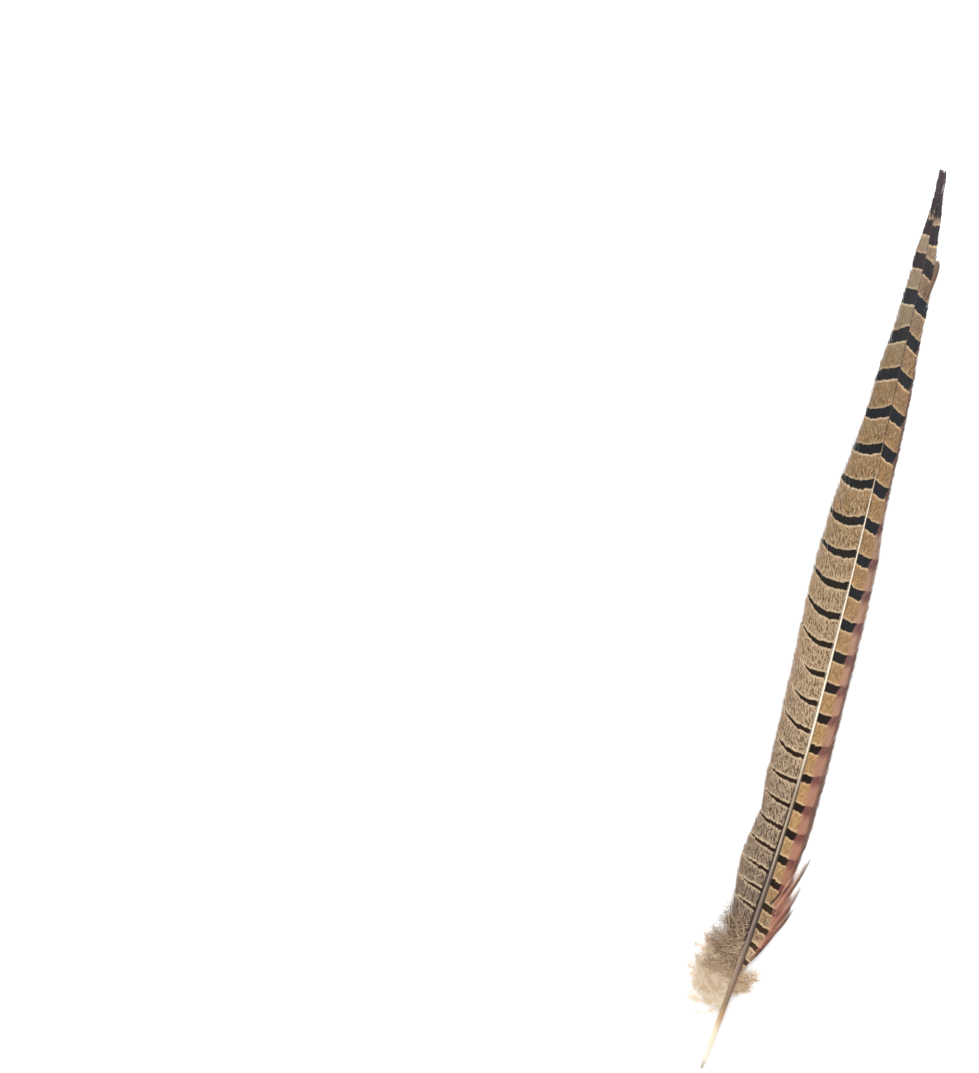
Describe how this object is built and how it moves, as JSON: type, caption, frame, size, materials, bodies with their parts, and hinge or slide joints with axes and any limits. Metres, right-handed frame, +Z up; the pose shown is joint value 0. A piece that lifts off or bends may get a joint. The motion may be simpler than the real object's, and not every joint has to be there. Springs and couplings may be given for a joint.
{
  "type": "pheasant tail feather",
  "caption": "Long barred tail feather of a cock pheasant, lying patterned side up: a bowed shaft with a bare quill, a broad and a narrow vane, and loose down at the foot of the vanes.",
  "frame": {"origin": "on the surface that the feather lies on, below the middle of its box", "axes": "+Y from the quill's point to the feather's tip, +X to the narrow vane's side, +Z up out of the patterned face"},
  "size_m": [0.0364, 0.3996, 0.0059],
  "materials": {
    "feather": "soft satin barbs with dark bars, glossy pale shaft"
  },
  "bodies": {
    "root": {"feather": "feather"}
  },
  "joints": []
}
